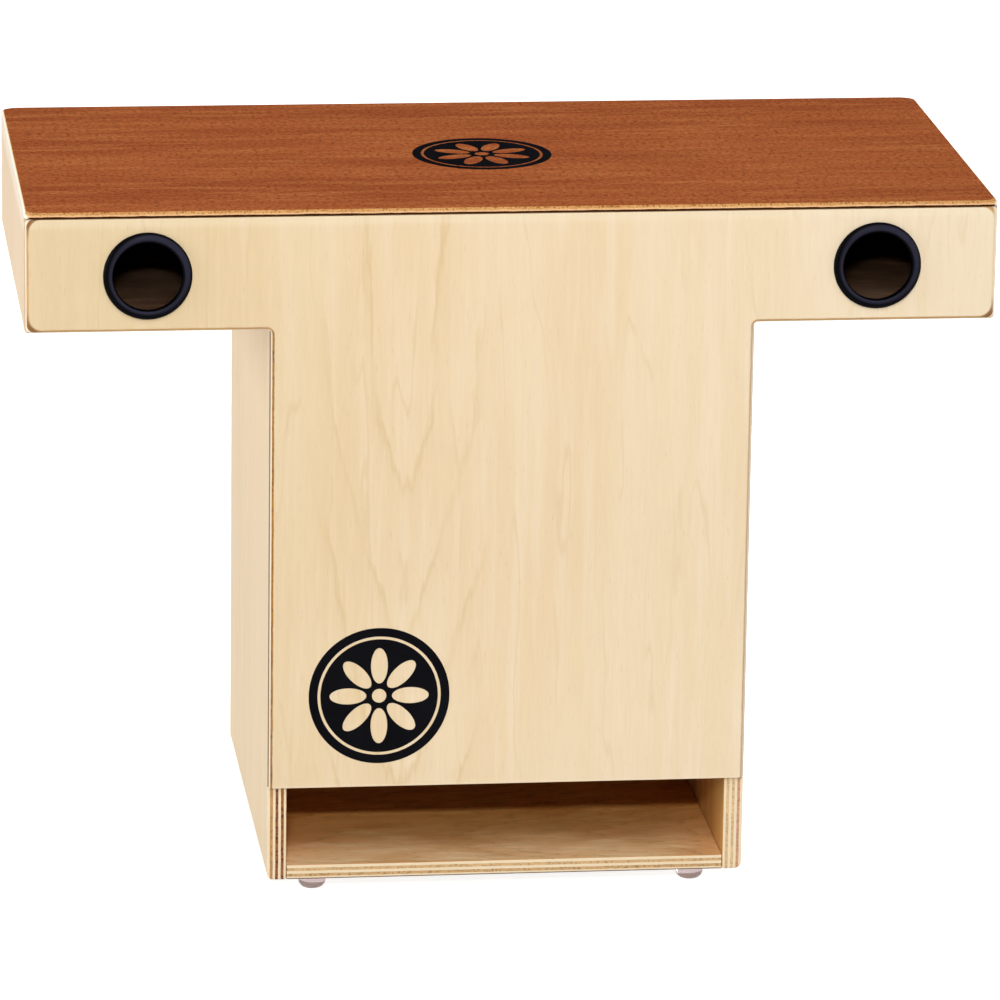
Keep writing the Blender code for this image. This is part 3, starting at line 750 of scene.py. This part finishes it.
def make_panels():
    holes = []
    for side in SIDES:
        low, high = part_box("port_ring_" + side)
        radius = (high.x - low.x) / 2 - RING_LIP_WIDTH + PORT_TUBE_WALL + PORT_CLEARANCE
        holes.append((Vector(((low.x + high.x) / 2, (low.z + high.z) / 2)), radius))
    front = t_panel("front_face", front_low, front_high, front_low.y, 1, lower_ease=PANEL_END_EASE,
                    lower_corner=BOARD_EASE, holes=holes)
    maple = maple_panel("front_maple", front_low.y, 1.0, front_low.z, seed=3.0, heart=-0.067)
    fit_piece(front, maple, "maple_veneer", "front_panel")
    back = t_panel("back_face", back_low, back_high, back_high.y, -1, lower_ease=PANEL_ROUND,
                   lower_corner=FOOT_EDGE_ROUND)
    maple = maple_panel("back_maple", back_high.y, -1.0, back_low.z, seed=57.0, heart=0.04)
    fit_piece(back, maple, "maple_veneer", "back_panel")


def make_playing_surface():
    """The mahogany plate. It is thinner than its solid by the ink, which ends level with that."""
    def plate(inset, corner):
        low, high = surface_low, surface_high
        return outline([(low.x + inset, low.y + inset, corner), (high.x - inset, low.y + inset, corner),
                        (high.x - inset, high.y - inset, corner), (low.x + inset, high.y - inset, corner)])

    top = surface_high.z - INK
    thickness = top - surface_low.z
    edge = plate(0.0, TOP_CORNER_ROUND)
    layers = arris(plate(TOP_ROUND, TOP_CORNER_SANDING), edge, 0.0, 1, TOP_ROUND, ARRIS_STEPS)
    back = plate(BACK_EASE, TOP_CORNER_ROUND)
    layers += reversed(arris(back, edge, thickness, -1, BACK_EASE, BACK_STEPS))
    data = slab(layers, lambda p, depth: (p.x, p.y, top - depth))
    mahogany = mahogany_plate("mahogany_top", top, thickness, seed=5.0)
    fit_piece(shaded("mahogany_plate", data), mahogany, "mahogany", "playing_surface")


def long_board(name, low, high, rounds):
    """A board from front to back. rounds are the radii of its long edges, from low X and low Z on."""
    def section(inset):
        corners = [(low.x + inset, low.z + inset), (high.x - inset, low.z + inset),
                   (high.x - inset, high.z - inset), (low.x + inset, high.z - inset)]
        return outline([(x, z, radius) for (x, z), radius in zip(corners, rounds)])

    length = high.y - low.y
    face, edge = section(BOARD_EASE), section(0.0)
    layers = arris(face, edge, 0.0, 1, BOARD_EASE, END_STEPS)
    layers += reversed(arris(face, edge, length, -1, BOARD_EASE, END_STEPS))
    return shaded(name, slab(layers, lambda p, depth: (p.x, low.y + depth, p.y)))


def joint_shade(board):
    """Painted shade on the strip along a board's outer front arris that the panel leaves bare."""
    step = board.nodes.step
    beside_panel = step(board.along, front_low.z - 0.0002, front_low.z + 0.0004)
    on_arris = step(board.depth, 0.0013, 0.0009) * step(board.across, BOARD_FRONT + 0.0012,
                                                        BOARD_FRONT + 0.0008)
    strength = step(board.along, WING_UNDERSIDE - 0.0002, WING_UNDERSIDE + 0.0002, 0.8, 0.3)
    return beside_panel * on_arris * strength


def stem_side_tint(board, colour):
    """The stem's sides are cut from a yellower sheet than the wing ends."""
    return board.nodes.mix(1.0, colour, (0.975, 0.955, 0.90, 1.0), "MULTIPLY")


def wing_end_tint(board, colour):
    """Wing ends are pinker, and have a painted highlight under the playing surface."""
    colour = board.nodes.mix(1.0, colour, (0.97, 0.91, 0.87, 1.0), "MULTIPLY")
    upper_highlight = board.nodes.step(board.along, wing_high.z - 0.016, wing_high.z, 0.0, 0.7)
    return board.nodes.mix(upper_highlight, colour, srgb(253, 238, 216))


def floor_painted_light(board, colour):
    """Above, the stem's floor has painted light, pale at its front edge and golden behind it, and painted
    shade, redder, further in.
    """
    step = board.nodes.step
    above = step(board.depth, FLOOR_BOARD * 0.55, FLOOR_BOARD * 0.45)
    # Painted shade makes the floor redder from 85 mm in; painted light makes it brighter in front of that,
    # and paler still at its front edge
    for start, end, tint in ((0.085, 0.115, (1.30, 1.08, 0.62, 1.0)),
                             (0.115, 0.085, (1.27, 1.13, 1.02, 1.0)),
                             (0.085, 0.010, (1.0, 1.30, 2.20, 1.0))):
        here = step(board.across, floor_low.y + start, floor_low.y + end)
        colour = board.nodes.mix(here * above, colour, tint, "MULTIPLY")
    return colour


def floor_edge_shade(board):
    """Painted shade: the dark lower line along the front edge of the stem's floor."""
    low = board.nodes.step(board.depth, FLOOR_BOARD - 0.0010, FLOOR_BOARD - 0.0006)
    return low * board.nodes.step(board.to_through, 0.9, 0.5)


def make_upright(node, sign, rounding, tone_and_painted_light, seed):
    """A stem side or a wing end."""
    low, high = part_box(node)
    outer, plies = (low.x, LEFT_PLIES) if sign < 0 else (high.x, RIGHT_PLIES)
    rounds = [BOARD_EASE] * 4
    rounds[0 if sign < 0 else 1] = rounding
    wood = birch_board(node + "_maple", SIDE_MAPLE, MAPLE_GRAIN, FACING_SIDE, outer, -sign, high.x - low.x,
                       plies, seed, heart=0.05, far_wood=BIRCH, tone_and_painted_light=tone_and_painted_light, painted_shade=joint_shade)
    fit_piece(long_board(node + "_board", low, high, rounds), wood, "birch_plywood", node)


def make_wing_floor(node, seed):
    low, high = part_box(node)
    # The upper face, inside the wing, is darkened as painted shade
    wood = birch_board(node + "_birch", SIDE_MAPLE, BIRCH_GRAIN, FACING_UP, low.z, 1.0, high.z - low.z,
                       RIGHT_PLIES, seed, far_wood=SHADED_BIRCH)
    fit_piece(long_board(node + "_board", low, high, [BACK_EASE] * 4), wood, "birch_plywood", node)


def make_stem_floor():
    wood = birch_board("floor_birch", BIRCH, BIRCH_GRAIN, FACING_UP, floor_high.z, -1.0, FLOOR_BOARD,
                       FLOOR_PLIES, seed=173.0, heart=floor_low.y + 0.05, far_wood=SIDE_MAPLE,
                       tone_and_painted_light=floor_painted_light, painted_shade=floor_edge_shade)
    floor = long_board("floor_board", floor_low, floor_high, [BACK_EASE] * 4)
    fit_piece(floor, wood, "birch_plywood", "bottom_panel")


def make_frame_boards():
    for number, (side, sign) in enumerate(SIDES.items()):
        make_upright("stem_side_" + side, sign, FOOT_EDGE_ROUND, stem_side_tint, seed=81.0 + 13 * number)
        make_upright("wing_end_" + side, sign, WING_EDGE_ROUND, wing_end_tint, seed=80.0 + 13 * number)
        make_wing_floor("wing_floor_" + side, seed=131.0 + 17 * number)
    make_stem_floor()


def make_port_rings():
    # Nearly black plastic, with a bluish painted highlight on the lip where it faces SHEEN_SIDE
    plastic = rubbed("port_plastic", srgb(3, 3, 6), 0.36, {"Specular IOR Level": 0.03}, grit=1500.0,
                     spread=0.10, painted_sheen=srgb(44, 43, 57))
    for side in SIDES:
        low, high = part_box("port_ring_" + side)
        lip = (high.x - low.x) / 2
        bore = lip - RING_LIP_WIDTH
        tube = bore + PORT_TUBE_WALL
        proud = front_low.y - low.y - RING_SEAT
        length = high.y - front_low.y
        profile = [(bore + PORT_TUBE_FLARE, -length), (bore, -RING_SEAT)]
        for step in range(RING_STEPS + 1):
            angle = math.pi * (1 - step / RING_STEPS)
            outwards = ((1 + math.cos(angle)) / 2) ** RING_LEAN
            profile.append((bore + (lip - bore) * outwards,
                            RING_SEAT + proud * math.sin(angle) ** RING_FULLNESS))
        profile += [(tube, RING_SEAT), (tube, -length)]
        centre = ((low.x + high.x) / 2, front_low.y, (low.z + high.z) / 2)
        data = turned(profile, TURNED_SIDES, centre, Matrix.Rotation(math.radians(90), 4, "X"))
        moulding = shaded(f"port_ring_{side}_moulding", data, SMOOTH_ANGLE)
        fit_piece(moulding, plastic, "black_plastic", "port_ring_" + side)


def make_feet():
    clear = rubbed("clear_bumper", srgb(240, 220, 222), 0.06, {"Transmission Weight": 0.75, "IOR": 1.49},
                   grit=400.0, spread=0.04)
    for end in ("front", "back"):
        for side in SIDES:
            node = f"foot_{end}_{side}"
            low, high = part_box(node)
            radius, flat = (high.x - low.x) / 2, FOOT_FLAT / 2
            profile = [(0.0, high.z), (radius - FOOT_RIM, high.z), (radius, high.z - FOOT_RIM)]
            for step in range(FOOT_STEPS + 1):
                angle = math.pi / 2 * step / FOOT_STEPS
                profile.append((flat + (radius - flat) * math.cos(angle),
                                FOOT_ROUND * (1 - math.sin(angle))))
            profile.append((0.0, 0.0))
            centre = ((low.x + high.x) / 2, (low.y + high.y) / 2, 0.0)
            bumper = shaded(f"bumper_{end}_{side}", turned(profile, FOOT_SIDES, centre), SMOOTH_ANGLE)
            fit_piece(bumper, clear, "clear_plastic", node)


def end_tree(nodes, sink, geometry, material):
    """Ends a Geometry Nodes tree with real geometry that has its material."""
    whole = nodes.add("GeometryNodeRealizeInstances", {"Geometry": geometry})
    nodes.set(sink, {"Geometry": nodes.add("GeometryNodeSetMaterial", {"Geometry": whole,
                                                                       "Material": material})})


def make_disc_tree():
    """Geometry Nodes that print a disc: a ring and a rosette of petals are left open in it."""
    inputs = {"Diameter": DISC_DIAMETER, "Ring Diameter": 0.077, "Ring Width": 0.0018, "Petals": 8,
              "Petal Length": 0.023, "Petal Width": 0.0105, "Rosette Diameter": 0.039,
              "Heart Diameter": 0.009, "Thickness": INK, "Ink": "NodeSocketMaterial"}
    tree, nodes, source, sink = node_group("printed disc", "GeometryNodeTree", inputs,
                                           {"Geometry": "NodeSocketGeometry"})

    def circle(radius, sides=DISC_SIDES):
        return nodes.add("GeometryNodeCurvePrimitiveCircle", {"Resolution": sides, "Radius": radius})

    petal = nodes.add("GeometryNodeTransform", {
        "Geometry": circle(1.0, PETAL_SIDES),
        "Scale": nodes.vector(source["Petal Length"] * 0.5, source["Petal Width"] * 0.5, 1.0)})
    places = nodes.add("GeometryNodeMeshCircle", {"Vertices": source["Petals"],
                                                  "Radius": source["Rosette Diameter"] * 0.5})
    x, y, _ = nodes.split(nodes.add("GeometryNodeInputPosition"))
    outwards = nodes.vector(0.0, 0.0, nodes.math("ARCTAN2", y, x))
    petals = nodes.add("GeometryNodeInstanceOnPoints", {"Points": places, "Instance": petal,
                                                        "Rotation": outwards})
    petals = nodes.add("GeometryNodeRealizeInstances", {"Geometry": petals})
    ring = source["Ring Diameter"] * 0.5
    outlines = nodes.join(circle(source["Diameter"] * 0.5), circle(ring),
                          circle(ring - source["Ring Width"]), petals,
                          circle(source["Heart Diameter"] * 0.5, PETAL_SIDES))
    face = nodes.add("GeometryNodeFillCurve", {"Curve": outlines}, mode="NGONS")
    raised = nodes.add("GeometryNodeExtrudeMesh", {"Mesh": face, "Individual": False,
                                                   "Offset Scale": source["Thickness"]})
    both = nodes.join(raised, nodes.add("GeometryNodeFlipFaces", {"Mesh": face}))
    closed = nodes.add("GeometryNodeMergeByDistance", {"Geometry": both, "Distance": INK / 20})
    end_tree(nodes, sink, closed, source["Ink"])
    return tree


def grown(name, tree, values, start=None):
    """What a Geometry Nodes tree makes with these input values, as an object with a plain mesh."""
    obj = bpy.data.objects.new(name, start or bpy.data.meshes.new(name))
    bpy.context.collection.objects.link(obj)
    modifier = obj.modifiers.new(name, "NODES")
    modifier.node_group = tree
    inputs = [item for item in tree.interface.items_tree if item.in_out == "INPUT"]
    identifiers = {item.name: item.identifier for item in inputs}
    for label, value in values.items():
        modifier[identifiers[label]] = value
    return plain_mesh(obj)


def make_printed_discs():
    ink = make_ink()
    tree = make_disc_tree()
    front = grown("printed_disc_front", tree, {"Ink": ink})
    place = (FRONT_DISC_X, front_low.y, front_low.z + FRONT_DISC_RISE)
    front.data.transform(Matrix.Translation(place) @ Matrix.Rotation(math.radians(90), 4, "X"))
    top = grown("printed_disc_top", tree, {"Ink": ink})
    place = (TOP_DISC_X, front_low.y + TOP_DISC_BACK, surface_high.z - INK)
    top.data.transform(Matrix.Translation(place) @ Matrix.Rotation(TOP_DISC_TURN, 4, "Z"))
    for disc in (front, top):
        fit_piece(disc, ink, "black_plastic")


def make_strand_tree():
    """Geometry Nodes that wind a row of strands, soldered to a strip that ends where the clip does.

    The object's own curve is the path of the middle strand.
    """
    inputs = {"Path": "NodeSocketGeometry", "Strands": STRAND_COUNT, "Pitch": STRAND_PITCH,
              "Coil Radius": STRAND_COIL_RADIUS, "Wire Radius": WIRE_RADIUS, "Coil Pitch": COIL_PITCH,
              "Grip": STRAND_GRIP, "Strip Length": STRIP_LENGTH, "Strip Width": STRIP_WIDTH,
              "Strip Thickness": STRIP_THICKNESS, "Steel": "NodeSocketMaterial"}
    tree, nodes, source, sink = node_group("snare strands", "GeometryNodeTree", inputs,
                                           {"Geometry": "NodeSocketGeometry"})

    # A straight coil along Z is bent: its Z goes along the path, its X to the path's upper side
    length = nodes.add("GeometryNodeCurveLength", {"Curve": source["Path"]})
    coil = nodes.add("GeometryNodeCurveSpiral", {
        "Resolution": COIL_STEPS, "Rotations": length / source["Coil Pitch"],
        "Start Radius": source["Coil Radius"], "End Radius": source["Coil Radius"], "Height": length})
    x, y, along = nodes.split(nodes.add("GeometryNodeInputPosition"))
    centre, tangent = [nodes.split(vector) for vector in nodes.add(
        "GeometryNodeSampleCurve", {"Curves": source["Path"], "Length": along}, ("Position", "Tangent"),
        mode="LENGTH")]
    bent = nodes.vector(centre[0] - tangent[2] * x, centre[1] + y, centre[2] + tangent[0] * x)
    coil = nodes.add("GeometryNodeSetPosition", {"Geometry": coil, "Position": bent})
    section = nodes.add("GeometryNodeCurvePrimitiveCircle", {"Resolution": WIRE_SIDES,
                                                             "Radius": source["Wire Radius"]})
    wire = nodes.add("GeometryNodeCurveToMesh", {"Curve": coil, "Profile Curve": section,
                                                 "Fill Caps": True})

    half_span = (source["Strands"] - 1.0) * source["Pitch"] * 0.5
    row = nodes.add("GeometryNodeMeshLine", {
        "Count": source["Strands"], "Start Location": nodes.vector(0.0, half_span * -1.0, 0.0),
        "Offset": nodes.vector(0.0, source["Pitch"], 0.0)})
    strands = nodes.add("GeometryNodeInstanceOnPoints", {"Points": row, "Instance": wire})
    strip = nodes.add("GeometryNodeMeshCube", {"Size": nodes.vector(
        source["Strip Length"], source["Strip Width"], source["Strip Thickness"])})
    middle = nodes.add("GeometryNodeSampleCurve", {
        "Curves": source["Path"], "Length": source["Grip"] - source["Strip Length"] * 0.5}, "Position",
        mode="LENGTH")
    strip = nodes.add("GeometryNodeSetPosition", {"Geometry": strip, "Offset": middle})
    end_tree(nodes, sink, nodes.join(strands, strip), source["Steel"])
    return tree


def strand_path(low, high, sign):
    """The middle strand's path: gripped in the clip, up to the playing surface, then along it."""
    inner, outer = (high.x, low.x) if sign < 0 else (low.x, high.x)
    seat = low.z + STRAND_COIL_RADIUS + WIRE_RADIUS
    under_surface = high.z - STRAND_COIL_RADIUS - WIRE_RADIUS
    middle = (low.y + high.y) / 2
    mouth = inner + sign * STRAND_GRIP
    curve = bpy.data.curves.new("strand_path", "CURVE")
    curve.dimensions = "3D"
    spline = curve.splines.new("POLY")
    points = [(inner, middle, seat), (mouth, middle, seat),
              (mouth + sign * STRAND_RISE, middle, under_surface), (outer, middle, under_surface)]
    spline.points.add(len(points) - 1)
    for point, place in zip(spline.points, points):
        point.co = (*place, 1.0)
    return curve


def make_snares():
    steel = {"Metallic": 1.0}
    wire_steel = rubbed("snare_wire_steel", srgb(200, 200, 204), 0.24, steel, grit=2400.0)
    clip_steel = rubbed("clip_steel", srgb(188, 190, 196), 0.34, steel, grit=600.0)
    screw_steel = rubbed("screw_steel", srgb(176, 172, 160), 0.30, steel)
    tree = make_strand_tree()
    for side, sign in SIDES.items():
        low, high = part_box("snare_wires_" + side)
        strands = grown(f"snare_strands_{side}", tree, {"Steel": wire_steel}, strand_path(low, high, sign))
        fit_piece(strands, wire_steel, "wire_steel", "snare_wires_" + side)
        dress("snare_clip_" + side, clip_steel)
        for end in ("front", "back"):
            dress(f"snare_screw_{side}_{end}", screw_steel)


def make_softwood():
    """Spruce strips and bars inside the box."""
    for number, node in enumerate(("front_ledger", "back_ledger")):
        dress(node, spruce_strip(node + "_spruce", FACING_UP, seed=211.0 + number))
    for number, side in enumerate(SIDES):
        bar = "snare_bar_" + side
        dress(bar, spruce_strip(bar + "_spruce", ("X", "Y", "Z"), seed=223.0 + number))


def make_camera():
    camera = bpy.data.objects.new("camera", bpy.data.cameras.new("camera"))
    bpy.context.collection.objects.link(camera)
    camera.data.lens = CAMERA_LENS
    camera.data.clip_start, camera.data.clip_end = 0.05, 60.0
    camera.matrix_world = (Matrix.Translation(CAMERA_PLACE) @ Matrix.Rotation(-CAMERA_TURN, 4, "Z")
                           @ Matrix.Rotation(math.pi / 2 - CAMERA_TILT, 4, "X")
                           @ Matrix.Rotation(CAMERA_ROLL, 4, "Z"))
    bpy.context.scene.camera = camera


def softbox(name, place, size, power):
    lamp = bpy.data.objects.new(name, bpy.data.lights.new(name, "AREA"))
    bpy.context.collection.objects.link(lamp)
    lamp.data.shape = "RECTANGLE"
    lamp.data.size, lamp.data.size_y = size
    lamp.data.energy = power
    lamp.location = place
    lamp.rotation_euler = (Vector(LAMP_AIM) - Vector(place)).to_track_quat("-Z", "Y").to_euler()


def seen_directly(nodes):
    """1 for rays from the camera, in reflections and through clear plastic."""
    camera, glossy, through = nodes.add("ShaderNodeLightPath", give=("Is Camera Ray", "Is Glossy Ray",
                                                                     "Is Transmission Ray"))
    return nodes.math("MAXIMUM", camera, nodes.math("MAXIMUM", glossy, through))


def make_sky():
    """White to the camera, and dim as a light."""
    world = bpy.data.worlds.new("studio")
    bpy.context.scene.world = world
    world.use_nodes = True
    nodes = Tree(world.node_tree)
    nodes.set(world.node_tree.nodes["Background"], {"Color": (1.0, 1.0, 1.0, 1.0),
                                                    "Strength": seen_directly(nodes) * (1.0 - SKY) + SKY})


def make_floor():
    """A pale floor that looks white, and is clear from below."""
    bpy.ops.mesh.primitive_plane_add(size=40.0)
    floor = bpy.context.object
    floor.name = "studio_floor"
    material, nodes, shader = new_material("studio_floor")
    nodes.set(shader, {"Base Color": FLOOR_GREY, "Roughness": 0.9, "Specular IOR Level": 0.0})
    glow = nodes.add("ShaderNodeEmission", {"Strength": seen_directly(nodes) * FLOOR_GLOW})
    lit = nodes.add("ShaderNodeAddShader", {0: Value(nodes, shader.outputs["BSDF"]), 1: glow})
    below = nodes.add("ShaderNodeNewGeometry", give="Backfacing")
    clear = nodes.add("ShaderNodeBsdfTransparent")
    both = nodes.add("ShaderNodeMixShader", {0: below, 1: lit, 2: clear})
    nodes.set(material.node_tree.nodes["Material Output"], {"Surface": both})
    floor.data.materials.append(material)


make_camera()
make_panels()
make_playing_surface()
make_frame_boards()
make_port_rings()
make_feet()
make_printed_discs()
make_snares()
make_softwood()
make_sky()
make_floor()
for lamp, settings in LAMPS.items():
    softbox(lamp, *settings)
bpy.context.scene.view_settings.view_transform = "Standard"
